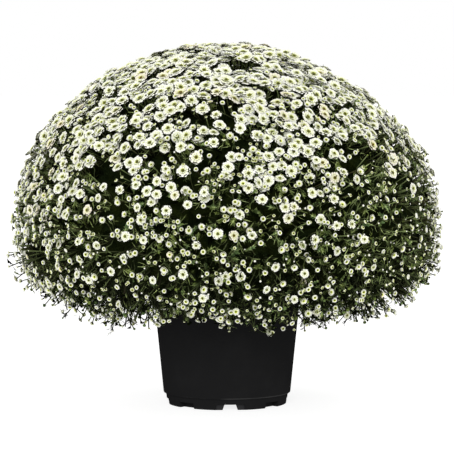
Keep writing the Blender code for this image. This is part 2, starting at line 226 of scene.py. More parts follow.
class Finish:
    """One material under construction."""

    def __init__(self, name, **constants):
        self.material = bpy.data.materials.new(name)
        self.material.use_nodes = True
        self.tree = self.material.node_tree
        self.surface = self.tree.nodes["Principled BSDF"]
        for socket, value in constants.items():
            self.surface.inputs[socket.replace("_", " ")].default_value = value

    def node(self, kind, settings, inputs, output=0):
        """Adds a node of this kind, sets it up, and returns one of its outputs."""
        made = self.tree.nodes.new(kind)
        for name, value in settings.items():
            setattr(made, name, value)
        for key, value in inputs.items():
            if isinstance(value, Socket):
                self.tree.links.new(value.link, made.inputs[key])
            else:
                made.inputs[key].default_value = value
        return Socket(self, made.outputs[output])

    def feed(self, name, value):
        """Links a value to the surface's socket."""
        self.tree.links.new(value.link, self.surface.inputs[name])

    def mix(self, share, first, second):
        """A blend of two colours."""
        first, second = (c if isinstance(c, Socket) else (*c, 1.0) for c in (first, second))
        return self.node("ShaderNodeMix", {"data_type": "RGBA"}, {0: share, 6: first, 7: second}, 2)

    def place(self):
        """Object coordinates."""
        return self.node("ShaderNodeTexCoord", {}, {}, 3)

    def tone(self):
        """(along, luck, age) of a point's part. A leaf has its reach for age, and a stem its painted
        shade.
        """
        vector = self.node("ShaderNodeAttribute", {"attribute_name": "tone"}, {}, 1)
        return [self.node("ShaderNodeSeparateXYZ", {}, {0: vector}, axis) for axis in range(3)]

    def noise(self, scale, detail=2.0, roughness=0.5):
        """Fine cloudy noise."""
        inputs = {"Vector": self.place(), "Scale": scale, "Detail": detail, "Roughness": roughness}
        return self.node("ShaderNodeTexNoise", {}, inputs)

    def cells(self, scale):
        """Distance to the nearest of scattered points."""
        return self.node("ShaderNodeTexVoronoi", {}, {"Vector": self.place(), "Scale": scale})

    def bump(self, height, strength, distance):
        """Relief from a height."""
        inputs = {"Height": height, "Strength": strength, "Distance": distance}
        self.feed("Normal", self.node("ShaderNodeBump", {}, inputs))


def petal_finish(settings):
    """White petals, yellow-green where they leave the eye, a little pink and cream when old."""
    finish = Finish("petal_white", Roughness=0.60, Specular_IOR_Level=0.15)
    along, luck, age = finish.tone()
    fresh = finish.mix(luck, settings.petal_colour, settings.petal_shade)
    worn = finish.mix(age.ramp(0.86, 1.0) * 0.5, fresh, settings.petal_old)
    finish.feed("Base Color", finish.mix(along.ramp(0.08, 0.88), settings.petal_foot, worn))
    return finish.material


def eye_finish(settings):
    """Yellow-green eyes with an olive middle, orange-brown when old, made of fine florets."""
    finish = Finish("eye_yellow_green", Roughness=0.75, Specular_IOR_Level=0.2)
    along, luck, age = finish.tone()
    ripe = finish.mix(age.ramp(0.86, 0.98), settings.eye_colour, settings.eye_old)
    edge = (along + luck * 0.15).ramp(0.60, 1.02)
    finish.feed("Base Color", finish.mix(edge, settings.eye_middle, ripe))
    finish.bump(finish.cells(1400.0), 0.6, 0.0006)
    return finish.material


def leaf_finish(settings):
    """Dark green leaves, lighter along the rib and from leaf to leaf, and towards the tip as painted
    light.
    """
    finish = Finish("leaf_green", Roughness=0.75, Specular_IOR_Level=0.015)
    rib, luck, reach = finish.tone()
    mottle = finish.noise(420.0, 1.0).ramp(0.32, 0.68) * 0.8 + 0.45
    # The lightness towards the tip is painted light
    lit = luck.ramp(0.20, 0.60) * (reach.ramp(0.0, 0.9) * 0.65 + 0.35) * mottle
    hue = finish.mix(finish.noise(38.0).ramp(0.36, 0.64), settings.leaf_light, settings.leaf_cool)
    blade = finish.mix(lit, settings.leaf_dark, hue)
    finish.feed("Base Color", finish.mix(rib.ramp(0.45, 1.0) * lit, blade, settings.leaf_rib))
    return finish.material


def stem_finish(settings):
    """Green to brownish stems, with painted shade: darker at their inner ends, on twigs and on low stalks.
    """
    finish = Finish("stem_green", Roughness=0.75, Specular_IOR_Level=0.10)
    along, luck, shade = finish.tone()
    lit = finish.mix(luck.ramp(0.05, 0.65), settings.stem_colour, settings.stem_brown)
    stem_painted_light = (1.0 - shade) * (along.ramp(0.1, 0.95) * 0.8 + 0.2)
    finish.feed("Base Color", finish.mix(stem_painted_light, settings.leaf_dark, lit))
    return finish.material


def plastic_finish(settings, name, painted_light_factor):
    """Black moulded plastic with a faint handling haze and a painted highlight along the ledge."""
    finish = Finish(name, Specular_IOR_Level=0.0)
    haze = finish.noise(14.0, 4.0, 0.6)
    finish.feed("Roughness", haze * 0.16 + (settings.roughness - 0.08))
    # A lightness above 1 paints light on this copy of the plastic
    colour = tuple(channel * painted_light_factor for channel in settings.colour)
    dusty = tuple(channel + 0.002 for channel in colour)
    height = finish.node("ShaderNodeSeparateXYZ", {}, {0: finish.place()}, 2)
    above = 1.0 - height.ramp(LEDGE_Z + 0.0016, LEDGE_Z + 0.0026)
    # A painted highlight along the ledge's edge, broken up by the haze
    ledge = height.ramp(LEDGE_Z - 0.0002, LEDGE_Z + 0.0004) * above
    plain = finish.mix(haze.ramp(0.45, 0.75), colour, dusty)
    finish.feed("Base Color", finish.mix(ledge * haze.ramp(0.42, 0.56), plain, settings.ledge_highlight))
    finish.bump(finish.noise(900.0, 2.0), 0.12, 0.0004)
    return finish.material


def soil_finish(settings):
    """Dark crumbly potting mix with a few pale grains; painted shade in its hollows, painted light on
    crumbs.
    """
    finish = Finish("potting_soil", Roughness=0.95, Specular_IOR_Level=0.15)
    crumbs = finish.noise(160.0, 5.0, 0.7)
    earth = finish.mix(crumbs.ramp(0.3, 0.7), settings.colour, settings.colour_crumb_tops)
    grains = 1.0 - finish.cells(190.0).ramp(0.10, 0.16)
    finish.feed("Base Color", finish.mix(grains * 0.6, earth, settings.colour_grain))
    finish.bump(crumbs, 0.8, 0.003)
    return finish.material


def floor_finish(settings):
    """A pale studio floor that glows a little, so that shadows on it stay light."""
    glow = settings.floor_glow
    finish = Finish("floor_white", Roughness=0.95, Specular_IOR_Level=0.0, Emission_Strength=glow)
    finish.surface.inputs["Base Color"].default_value = (*settings.floor_colour, 1.0)
    finish.surface.inputs["Emission Color"].default_value = (1.0, 1.0, 1.0, 1.0)
    return finish.material


def finished(name, bm, materials):
    """Turns a bmesh into an object with these materials, standing at the origin."""
    mesh = bpy.data.meshes.new(name)
    bm.to_mesh(mesh)
    bm.free()
    for material in materials:
        mesh.materials.append(material)
    made = bpy.data.objects.new(name, mesh)
    bpy.context.scene.collection.objects.link(made)
    return made


def kept(piece, slot, *nodes):
    """Ties a finished piece to the frame."""
    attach(piece, "root")
    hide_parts(*nodes)
    return piece


def spun(section, segments):
    """A closed solid turned from a section that starts and ends on the axis."""
    bm = bmesh.new()
    corners = [bm.verts.new((radius, 0, height)) for radius, height in section]
    line = [bm.edges.new(pair) for pair in zip(corners, corners[1:])]
    axis = {"cent": (0, 0, 0), "axis": (0, 0, 1)}
    bmesh.ops.spin(bm, geom=corners + line, steps=segments, angle=math.tau, use_merge=True, **axis)
    bmesh.ops.remove_doubles(bm, verts=bm.verts, dist=0.00001)
    bmesh.ops.recalc_face_normals(bm, faces=bm.faces)
    return bm


def turned(vector, angle):
    """A vector turned about the pot's axis."""
    return Matrix.Rotation(angle, 3, "Z") @ vector


class Dome:
    """The dome that the blooms lie on, measured by the way down it from its top."""

    def __init__(self):
        points = []
        for step in range(PROFILE_STEPS + 1):
            turn = math.pi * step / PROFILE_STEPS
            upper = turn <= math.pi / 2
            rise, power = (DOME_RISE, DOME_POWER) if upper else (SKIRT_DROP, SKIRT_POWER)
            radius = DOME_RADIUS * max(math.sin(turn), 0.0) ** (2 / power)
            lift = math.copysign(abs(math.cos(turn)) ** (2 / power), math.cos(turn))
            if not upper and radius < SKIRT_INNER_RADIUS:
                break
            points.append(Vector((radius, 0, DOME_CENTRE_Z + rise * lift)))
        self.points = points
        self.normals = []
        self.way = [0.0]
        self.area = [0.0]
        for i, point in enumerate(points):
            along = points[min(i + 1, len(points) - 1)] - points[max(i - 1, 0)]
            self.normals.append(Vector((-along.z, 0, along.x)).normalized() if i else Vector((0, 0, 1)))
        for start, end in zip(points, points[1:]):
            step = (end - start).length
            self.way.append(self.way[-1] + step)
            self.area.append(self.area[-1] + step * (start.x + end.x) * math.pi)

    def at(self, way, angle):
        """(point, outward normal) this far down the dome, at this angle about the axis."""
        way = abs(way)
        index = min(int(np.searchsorted(self.way, way)), len(self.points) - 1)
        before = max(index - 1, 0)
        span = self.way[index] - self.way[before]
        share = (way - self.way[before]) / span if span > 0 else 0.0
        point = turned(self.points[before].lerp(self.points[index], min(share, 1.0)), angle)
        point.x -= LEAN * min(max((point.z - LEAN_FROM_Z) / LEAN_HEIGHT, 0.0), 1.0)
        short = math.exp(-((math.remainder(angle - SHORT_SIDE, math.tau) / SHORT_SIDE_WIDTH) ** 2))
        point.z += SHORT_SIDE_LIFT * short * max((DOME_CENTRE_Z - point.z) / SKIRT_DROP, 0.0)
        return point, turned(self.normals[index], angle)

    def way_of_area(self, area):
        """How far down the dome a cap of this area reaches."""
        return float(np.interp(area, self.area, self.way))

    def spray_places(self):
        """Each spray's middle on the bush, its normal, its angle, and how far out its stem stands."""
        bush = [point - BUSH_DEPTH * normal for point, normal in zip(self.points, self.normals)]
        ways = [0.0]
        for start, end in zip(bush, bush[1:]):
            ways.append(ways[-1] + (end - start).length)
        places = []
        for row, (share, count, foot) in enumerate(SPRAY_ROWS):
            index = int(np.searchsorted(ways, share * ways[-1]))
            for k in range(count):
                angle = math.tau * (k + 0.5 * (row % 2)) / count
                normal = turned(self.normals[index], angle)
                places.append((turned(bush[index], angle), normal, angle, foot))
        return places


class Form:
    """A small shape to copy: its corners, and where each of them lies along its part."""

    def __init__(self, name, bm):
        self.mesh = bpy.data.meshes.new(name)
        bm.to_mesh(self.mesh)
        bm.free()
        count = len(self.mesh.vertices)
        flat = np.empty(count * 3)
        self.mesh.vertices.foreach_get("co", flat)
        self.corners = flat.reshape(-1, 3).copy()
        flat = np.empty(count * 3)
        self.mesh.attributes["tone"].data.foreach_get("vector", flat)
        self.tones = flat.reshape(-1, 3).copy()

    def put(self, bm, corners, luck, age=0.0):
        """Adds a copy with these corners to a bmesh."""
        tones = self.tones.copy()
        tones[:, 1] = OWN_LUCK * tones[:, 1] + (1 - OWN_LUCK) * luck
        tones[:, 2] += age
        self.mesh.vertices.foreach_set("co", corners.ravel())
        self.mesh.attributes["tone"].data.foreach_set("vector", tones.ravel())
        bm.from_mesh(self.mesh)

    def put_at(self, bm, place, axis, size, roll, luck, age=0.0):
        """Adds a copy of this size at a place, facing along an axis."""
        turn = (axis.to_track_quat("Z", "Y") @ Quaternion((0, 0, 1), roll)).to_matrix()
        self.put(bm, self.corners @ (np.array(turn).T * size) + np.array(place), luck, age)

    def put_along(self, bm, path, thickness, luck, age=0.0):
        """Adds a copy of an upright tube, bent along a path of three points."""
        start, middle, end = (np.array(point) for point in path)
        t = self.corners[:, 2:3]
        line = start * (1 - t) ** 2 + middle * 2 * t * (1 - t) + end * t ** 2
        heading = (end - start) / max(np.linalg.norm(end - start), 1e-9)
        side = np.cross(heading, (0.31, 0.22, 0.92) if abs(heading[2]) < 0.8 else (0.93, 0.21, 0.3))
        side /= np.linalg.norm(side)
        across = np.cross(heading, side)
        radius = thickness[0] + (thickness[1] - thickness[0]) * t
        ring = self.corners[:, 0:1] * side + self.corners[:, 1:2] * across
        self.put(bm, line + radius * ring, luck, age)


def new_shape():
    """An empty bmesh with the layer that shaders read."""
    bm = bmesh.new()
    bm.verts.layers.float_vector.new("tone")
    return bm


def tone_of(bm):
    """The layer that shaders read."""
    return bm.verts.layers.float_vector["tone"]


def paint(verts, material):
    """Gives the smooth faces at these corners a material."""
    for face in {face for vert in verts for face in vert.link_faces}:
        face.material_index = material
        face.smooth = True


def scatter(rng):
    """A vector that points any way."""
    return Vector([rng.gauss(0, 1) for _ in range(3)])


def blade(bm, path, widths, material, columns=1, turn=0.0, pull=0.0, luck=0.0):
    """A petal or leaf: a grid bent along a path of (reach, height) stations, with a half width at each."""
    tone = tone_of(bm)
    last = len(path) - 1
    grid = bmesh.ops.create_grid(bm, x_segments=last, y_segments=columns, size=0.5)["verts"]
    for vert in grid:
        station = round((vert.co.x + 0.5) * last)
        side = vert.co.y * 2
        reach, height = path[station]
        vert[tone] = (station / last, luck, 0)
        back = pull if station == last else 0.0
        vert.co = (reach - back * abs(side), side * widths[station], height)
    paint(grid, material)
    bmesh.ops.rotate(bm, verts=grid, cent=(0, 0, 0), matrix=Matrix.Rotation(turn, 3, "Z"))
    return grid


def petal_row(bm, rng, count, path, widths, twist, spread, white):
    """A ring of petals, each a little different. White is how white their feet are."""
    tone = tone_of(bm)
    for k in range(count):
        longer = 1 + rng.uniform(-spread, spread)
        higher = rng.uniform(-spread, spread)
        own = [(reach * longer, height + higher * reach) for reach, height in path]
        turn = twist + math.tau * (k + rng.uniform(-0.12, 0.12)) / count
        grid = blade(bm, own, widths, PETAL, 1, turn, 0.07, rng.random())
        for vert in grid:
            vert[tone].x = white + (1 - white) * vert[tone].x


def eye(bm, radius, height, ripe=1.0):
    """The eye of a bloom: a low dome of florets, darker in its middle. Ripe is how light the dome's edge
    is."""
    tone = tone_of(bm)
    ball = bmesh.ops.create_uvsphere(bm, u_segments=EYE_SIDES, v_segments=4, radius=1.0)["verts"]
    faces = list({face for vert in ball for face in vert.link_faces})
    geometry = ball + list({edge for vert in ball for edge in vert.link_edges}) + faces
    cut = {"plane_co": (0, 0, 0.001), "plane_no": (0, 0, 1), "clear_inner": True}
    bmesh.ops.bisect_plane(bm, geom=geometry, dist=0.0001, **cut)
    ball = [vert for vert in ball if vert.is_valid]
    for vert in ball:
        out = math.hypot(vert.co.x, vert.co.y)
        vert[tone] = (out * ripe, 0, 0)
        vert.co = (vert.co.x * radius, vert.co.y * radius, EYE_SEAT + max(vert.co.z, 0.0) * height)
    paint(ball, EYE)


def hollow(bm, radius, z, ripe):
    """The olive hollow of a bloom that has only parted. Ripe is how light its edge is."""
    tone = tone_of(bm)
    circle = {"segments": EYE_SIDES, "radius": radius, "matrix": Matrix.Translation((0, 0, z))}
    disc = bmesh.ops.create_circle(bm, cap_ends=True, cap_tris=True, **circle)["verts"]
    # The middle is dark olive and painted shade of the hollow
    for vert in disc:
        vert[tone] = (math.hypot(vert.co.x, vert.co.y) / radius * ripe, 0, 0)
    for face in {face for vert in disc for face in vert.link_faces}:
        face.material_index = EYE
        face.normal_update()
        if face.normal.z < 0:
            face.normal_flip()


def cone(bm, sides, bottom, top, depth, middle):
    """The open wall of an upright cone or tube, with its middle at this height."""
    sizes = {"segments": sides, "radius1": bottom, "radius2": top, "depth": depth}
    lift = Matrix.Translation((0, 0, middle))
    return bmesh.ops.create_cone(bm, cap_ends=False, matrix=lift, **sizes)["verts"]


def calyx(bm, top, bottom, z, depth, sides):
    """The green cup behind a bloom."""
    paint(cone(bm, sides, bottom, top, depth, z - depth / 2), LEAF)


def open_bloom(rng):
    """A wide open bloom, seen from above: three rows of petals round the eye."""
    bm = new_shape()
    twist = rng.uniform(0, 1)
    outer = [(0.20, -0.02), (0.60, 0.06), (0.90, 0.03), (1.0, 0.00)]
    petal_row(bm, rng, 14, outer, [0.075, 0.170, 0.175, 0.085], twist, 0.08, 0.56)
    middle = [(0.18, 0.03), (0.66, 0.17), (0.84, 0.14)]
    petal_row(bm, rng, 12, middle, [0.065, 0.165, 0.105], twist + 0.2, 0.08, 0.28)
    inner = [(0.16, 0.07), (0.56, 0.27)]
    petal_row(bm, rng, 9, inner, [0.070, 0.120], twist + 0.5, 0.10, 0.0)
    eye(bm, 0.25, 0.12)
    calyx(bm, 0.26, 0.09, 0.02, 0.26, 5)
    return Form("open_bloom", bm)


def half_open_bloom(rng):
    """A younger bloom whose petals still rise round the eye."""
    bm = new_shape()
    twist = rng.uniform(0, 1)
    outer = [(0.26, -0.12), (0.78, 0.12), (1.0, 0.32)]
    petal_row(bm, rng, 11, outer, [0.110, 0.250, 0.150], twist, 0.06, 0.30)
    inner = [(0.22, 0.10), (0.72, 0.38)]
    petal_row(bm, rng, 9, inner, [0.095, 0.230], twist + 0.3, 0.08, 0.0)
    eye(bm, 0.30, 0.08, 0.85)
    calyx(bm, 0.46, 0.14, 0.0, 0.52, 5)
    return Form("half_open_bloom", bm)


def ring_bloom(rng):
    """A just opening bloom: a thick white ring of petals round a hollow of dark olive and painted shade.
    """
    bm = new_shape()
    twist = rng.uniform(0, 1)
    outer = [(0.42, -0.35), (1.00, 0.08), (0.88, 0.50)]
    petal_row(bm, rng, 9, outer, [0.18, 0.40, 0.30], twist, 0.06, 0.36)
    inner = [(0.37, 0.26), (0.88, 0.54)]
    petal_row(bm, rng, 8, inner, [0.16, 0.38], twist + 0.3, 0.05, 0.0)
    hollow(bm, 0.50, 0.18, 0.86)
    calyx(bm, 0.72, 0.22, -0.05, 0.78, 5)
    return Form("ring_bloom", bm)


def young_ring(rng):
    """A bud that has just parted: short white petals round a yellow-green hollow."""
    bm = new_shape()
    tone = tone_of(bm)
    outer = [(0.46, -0.40), (1.00, 0.12), (0.54, 0.50)]
    petal_row(bm, rng, 7, outer, [0.22, 0.50, 0.32], rng.uniform(0, 1), 0.05, 0.42)
    for vert in bm.verts:
        if vert.co.z > 0.32:
            vert[tone].x = 0.28
    hollow(bm, 0.54, 0.34, 0.90)
    calyx(bm, 0.76, 0.24, -0.10, 0.72, 4)
    return Form("young_ring", bm)


def bud(sepals, paleness):
    """A closed bud: green sepals up to this height, and a paler tip."""
    bm = new_shape()
    tone = tone_of(bm)
    ball = bmesh.ops.create_uvsphere(bm, u_segments=5, v_segments=3, radius=1.0)["verts"]
    for vert in ball:
        vert[tone] = (0.10 + paleness * (vert.co.z + 1), 0, 0.9)
        vert.co.z *= 0.85
    for face in {face for vert in ball for face in vert.link_faces}:
        face.material_index = PETAL if face.calc_center_median().z > sepals else LEAF
        face.smooth = True
    return Form("bud", bm)


# Leaves: columns across, half widths at the lobes and bays, and how far each of them reaches
LEAF_CUTS = (
    (2, [0.036, 0.044, 0.210, 0.055, 0.300, 0.065, 0.240, 0.070, 0.012],
     [0.00, 0.20, 0.44, 0.38, 0.70, 0.60, 0.92, 0.80, 1.0]),
    (2, [0.036, 0.042, 0.220, 0.048, 0.250, 0.060, 0.012], [0.00, 0.26, 0.56, 0.46, 0.86, 0.72, 1.0]),
    (1, [0.036, 0.040, 0.180, 0.046, 0.280, 0.060, 0.012], [0.00, 0.22, 0.46, 0.42, 0.84, 0.68, 1.0]),
    (1, [0.034, 0.038, 0.160, 0.044, 0.200, 0.050, 0.010], [0.00, 0.30, 0.58, 0.50, 0.86, 0.74, 1.0]),
    (1, [0.034, 0.038, 0.210, 0.044, 0.150, 0.048, 0.010], [0.00, 0.26, 0.60, 0.44, 0.88, 0.76, 1.0]),
)


def leaf(rng, columns, widths, reaches):
    """A finely cut leaf: two or three lobes a side and one at the tip, with narrow bays between them."""
    bm = new_shape()
    tone = tone_of(bm)
    last = len(widths) - 1
    grid = blade(bm, [(k / last, 0.0) for k in range(last + 1)], widths, LEAF, columns)
    for vert in grid:
        station = round(vert.co.x * last)
        edge = abs(vert.co.y) > 0.005
        if edge:
            vert.co.x = reaches[station]
        droop = -0.22 * vert.co.x ** 2
        vert.co.z = droop + 0.35 * abs(vert.co.y) + rng.uniform(-0.02, 0.02)
        ribbed = not edge if columns > 1 else vert.co.y > 0
        vert[tone] = (1.0 if ribbed else 0.0, 0, vert.co.x)
    return Form("leaf", bm)


def strand(bend):
    """A narrow upper leaf, plain and thin."""
    bm = new_shape()
    tone = tone_of(bm)
    path = [(0.0, 0.0), (0.5, bend), (1.0, 0.6 * bend)]
    for vert in blade(bm, path, [0.034, 0.046, 0.012], LEAF):
        vert[tone] = (0.75, 0.4, 0.5 + 0.5 * vert.co.x)
    return Form("strand", bm)


def tube(sides, bends):
    """An upright tube of unit height, to be bent into a stem."""
    bm = new_shape()
    cone(bm, sides, 1.0, 1.0, 1.0, 0.5)
    for k in range(1, bends):
        everything = list(bm.verts) + list(bm.edges) + list(bm.faces)
        plane = {"plane_co": (0, 0, k / bends), "plane_no": (0, 0, 1)}
        bmesh.ops.bisect_plane(bm, geom=everything, dist=0.0001, **plane)
    tone = tone_of(bm)
    for vert in bm.verts:
        vert[tone] = (vert.co.z, 0, 0)
    paint(bm.verts, STEM)
    return Form("stem", bm)


def clump(rng):
    """A rough tuft of inner leaves, dark as painted shade, which closes the view between the outer ones.
    """
    bm = new_shape()
    for vert in bmesh.ops.create_icosphere(bm, subdivisions=1, radius=1.0)["verts"]:
        vert.co *= rng.uniform(0.80, 1.20)
    for face in bm.faces:
        face.material_index = LEAF
    return Form("clump", bm)


def mix_at(height):
    """How many of each thing a cluster carries at this height, and how large its open blooms are."""
    table = np.array(CLUSTER_MIX)
    return [float(np.interp(height, table[:, 0], table[:, k])) for k in range(1, table.shape[1])]


def sides_near(point):
    """How near a point is to each of the sides that differ, and what differs there."""
    return [
        (math.exp(-(((point - Vector(middle)).length / reach) ** 2)), more)
        for middle, reach, more in SIDES
    ]


def added(sides, kind):
    """How many times as many of a kind grow near these sides."""
    return 1 + sum(near * more.get(kind, 0.0) for near, more in sides)


def bend_at(path, share):
    """The point at this share of a path of three points."""
    start, middle, end = path
    return start.lerp(middle, share).lerp(middle.lerp(end, share), share)


def whole(rng, mean):
    """A whole number with this mean."""
    return int(mean) + (rng.random() < mean - int(mean))


class Cluster:
    """A few blooms, buds and leaves that share one twig."""

    def __init__(self, dome, way, angle, spray):
        self.way = way
        self.angle = angle
        self.point, self.normal = dome.at(way, angle)
        self.spray = spray


def cluster_places(dome, count, rng):
    """Clusters spread over the dome, each as far from the others as a few tries allow."""
    ways = []
    angles = []
    points = np.zeros((count, 3))
    whole_area = dome.area[-1]
    for k in range(count):
        best = None
        for _ in range(PLACE_TRIES):
            way = dome.way_of_area(rng.uniform(0, whole_area))
            angle = rng.uniform(0, math.tau)
            point = np.array(dome.at(way, angle)[0])
            room = np.min(np.sum((points[:k] - point) ** 2, axis=1)) if k else 1.0
            if best is None or room > best[0]:
                best = (room, way, angle, point)
        ways.append(best[1])
        angles.append(best[2])
        points[k] = best[3]
    return list(zip(ways, angles))


class Heads:
    """The blooms and buds placed so far, to keep new ones clear of them."""

    def __init__(self):
        self.points = np.zeros((0, 3))
        self.sizes = np.zeros(0)

    def room(self, point, size, overlap):
        """How far a head of this size is from touching its nearest neighbour."""
        if not len(self.sizes):
            return 1.0
        gaps = np.sqrt(np.sum((self.points - np.array(point)) ** 2, axis=1))
        return float(np.min(gaps - overlap * (self.sizes + size)))

    def add(self, point, size):
        """Remembers a head."""
        self.points = np.vstack([self.points, np.array(point)])
        self.sizes = np.append(self.sizes, size)


def facing(normal, rng, spread):
    """The way a bloom looks: outwards, never far down, a little to the front, and a little at random."""
    forward = normal.y - TOWARDS_VIEWER * max(normal.z, 0.0)
    axis = Vector((normal.x, forward, max(normal.z, LOWEST_LOOK)))
    axis += Vector((rng.gauss(0, spread), rng.gauss(0, spread), rng.gauss(0, spread) + UPWARD_LOOK))
    return axis.normalized()


class Plant:
    """Grows what each spray carries."""

    def __init__(self, blooms, leaves):
        self.blooms = blooms
        self.leaves = leaves
        self.dome = Dome()
        self.places = self.dome.spray_places()
        self.rng = random.Random(blooms.seed)
        rng = random.Random(blooms.seed + 1)
        self.forms = {
            "open": [open_bloom(rng) for _ in range(4)],
            "half": [half_open_bloom(rng) for _ in range(3)],
            "ring": [ring_bloom(rng) for _ in range(3)],
            "young": [young_ring(rng) for _ in range(3)],
            "bud": [bud(-0.2, 0.45), bud(0.1, 0.40), bud(1.0, 0.1)],
        }
        self.leaf_forms = [leaf(rng, *cuts) for cuts in LEAF_CUTS]
        self.strand_forms = [strand(0.12), strand(-0.10)]
        self.stalk_form = tube(3, 2)
        self.twig_form = tube(4, 3)
        self.stem_form = tube(7, 6)
        self.clump_forms = [clump(rng) for _ in range(3)]
        self.sizes = {kind: tuple(getattr(blooms, f"{kind}_radii")) for kind in STRAY}
        self.heads = Heads()
        self.clusters = self.spread_clusters()

    def spread_clusters(self):
        """Every cluster, with the spray that it belongs to."""
        clusters = []
        middles = [place[0] for place in self.places]
        for way, angle in cluster_places(self.dome, self.blooms.clusters, self.rng):
            point = self.dome.at(way, angle)[0]
            spray = min(range(len(middles)), key=lambda k: (middles[k] - point).length)
            clusters.append(Cluster(self.dome, way, angle, spray))
        return clusters

    def beside(self, cluster, spread):
        """A point and normal on the dome near a cluster."""
        radius = max(math.hypot(cluster.point.x, cluster.point.y), 0.03)
        aside, along = (max(-MOST_STRAY, min(MOST_STRAY, self.rng.gauss(0, 1))) * spread for _ in range(2))
        way = cluster.way + along
        angle = cluster.angle + aside / radius
        return self.dome.at(min(way, self.dome.way[-1]), angle)

    def grow_spray(self, number):
        """One spray's mesh: stem, twigs, blooms, buds and leaves."""
        bm = new_shape()
        middle, normal, angle, foot = self.places[number]
        fork = middle - FORK_DEPTH * normal
        root = turned(Vector((foot, 0, SOIL_TOP - STEM_ROOT_DEPTH)), angle)
        rise = Vector((root.x * 1.2, root.y * 1.2, root.z + 0.45 * (fork - root).length))
        self.stem_form.put_along(bm, (root, rise, fork), STEM_RADII, self.rng.random())
        for cluster in self.clusters:
            if cluster.spray == number:
                self.grow_cluster(bm, cluster, fork)
        return bm

    def grow_cluster(self, bm, cluster, fork):
        """One cluster on its twig."""
        rng = self.rng
        swell = rng.uniform(-1, 1) * self.blooms.unevenness
        if cluster.normal.z < 0.15 and rng.random() < self.blooms.sprigs:
            room = DOME_RADIUS + 0.002 - math.hypot(cluster.point.x, cluster.point.y)
            swell += rng.uniform(0.4, 1.0) * min(self.blooms.sprig_reach, max(room, 0.0))
        node = cluster.point - (BUSH_DEPTH - swell) * cluster.normal
        if cluster.normal.z < UNDERSIDE:
            node.z += UNDERSIDE_LIFT
        elbow = fork.lerp(node, ELBOW_SHARE) + ELBOW_RISE * cluster.normal
        twig = (fork, elbow, node)
        self.twig_form.put_along(bm, twig, TWIG_RADII, rng.random(), TWIG_SHADE)
        stalks = []
        *counts, leaves, growth = mix_at(cluster.point.z)
        sides = sides_near(cluster.point)
        leaves *= added(sides, "leaves")
        flush = rng.choice(FLUSHES)
        for kind, mean in zip(STRAY, counts):
            plenty = self.blooms.plenty * added(sides, kind)
            for _ in range(whole(rng, mean * plenty * (flush if kind == "open" else 1.0))):
                stalks.append(self.grow_head(bm, cluster, node, kind, swell, growth))
        while len(stalks) < self.leaves.shoots:
            stalks.append(self.grow_shoot(bm, cluster, node, swell))
        for _ in range(whole(rng, leaves * self.leaves.plenty)):
            if rng.random() < LEAVES_ON_TWIG:
                foot = bend_at(twig, rng.uniform(0.50, 1.0))
            else:
                foot = bend_at(rng.choice(stalks), rng.uniform(0.05, 0.90))
            self.grow_leaf(bm, cluster.normal, foot, self.leaf_forms)
        for _ in range(whole(rng, self.leaves.strands * min(leaves / LEAVES_FOR_ALL_STRANDS, 1.0))):
            foot = bend_at(rng.choice(stalks), rng.uniform(0.30, 0.98))
            self.grow_leaf(bm, cluster.normal, foot, self.strand_forms, STRAND_SCALE)
        if leaves > LEAVES_FOR_TUFT:
            self.fill_behind(bm, cluster)

    def grow_head(self, bm, cluster, node, kind, swell, growth):
        """A bloom or bud on its stalk."""
        rng = self.rng
        size = rng.uniform(*self.sizes[kind]) * (growth if kind == "open" else 1.0)
        fringe = kind == "bud" and cluster.point.z < FRINGE_Z
        if fringe:
            size *= FRINGE_SIZE
        above = UPPER_HEAD_DEPTH if growth >= 1.0 else LOWER_HEAD_DEPTH
        deepest = BUD_DEPTH if kind == "bud" else above
        best = None
        for _ in range(HEAD_TRIES):
            point, normal = self.beside(cluster, STRAY[kind])
            depth = rng.triangular(0.0, deepest, 0.25 * deepest)
            point = point - (depth - swell) * normal
            room = self.heads.room(point, size, self.blooms.closeness)
            if best is None or room > best[0]:
                best = (room, point, normal)
            if room > 0:
                break
        room, point, normal = best
        axis = facing(normal, rng, HEAD_SPREAD)
        self.heads.add(point, size)
        # Most buds on the lower edge are all green, partly as painted shade there
        green = fringe and rng.random() < FRINGE_GREEN_SHARE
        form = self.forms[kind][2] if green else rng.choice(self.forms[kind])
        age = rng.random() if kind in ("open", "half") else 0.0
        form.put_at(bm, point, axis, size, rng.uniform(0, math.tau), rng.random(), age)
        return self.grow_stalk(bm, node, point - axis * size * 0.25, axis)

    def grow_stalk(self, bm, node, back, axis):
        """A thin stalk from the cluster's twig to the back of a head, and the path that it takes."""
        stalk = (node, back - axis * 0.5 * (node - back).length, back)
        # Stalks low on the bush get painted shade, and grow thicker there
        low = min(max((STALK_SHADE_Z - back.z) / STALK_SHADE_HEIGHT, 0.0), 1.0)
        shade = low * self.rng.uniform(0.5, 1.0)
        thick = STALK_RADIUS + STALK_SHADE_RADIUS * shade
        self.stalk_form.put_along(bm, stalk, (thick, thick), self.rng.random(), shade)
        return stalk

    def grow_shoot(self, bm, cluster, node, swell):
        """A stalk that carries leaves alone."""
        point, normal = self.beside(cluster, SHOOT_SPREAD)
        point = point - (self.rng.uniform(*SHOOT_DEPTHS) - swell) * normal
        return self.grow_stalk(bm, node, point, normal)

    def grow_leaf(self, bm, normal, foot, forms, scale=1.0):
        """A leaf of one of these forms on a stalk, pointing outwards and aside."""
        rng = self.rng
        aside = scatter(rng)
        aside = (aside - aside.dot(normal) * normal).normalized()
        heading = (aside + normal * rng.uniform(-0.1, 0.9)).normalized()
        upper = (normal + 0.3 * scatter(rng)).normalized()
        across = upper.cross(heading).normalized()
        upper = heading.cross(across)
        length = rng.uniform(*self.leaves.lengths) * scale
        turn = np.array((heading, across, upper)) * length
        form = rng.choice(forms)
        light = rng.random() ** 1.3
        # Leaves under the skirt are darkened as painted shade
        luck = light * (UNDERSIDE_PAINTED_SHADE if normal.z < UNDERSIDE else 1.0)
        form.put(bm, form.corners @ turn + np.array(foot), luck)

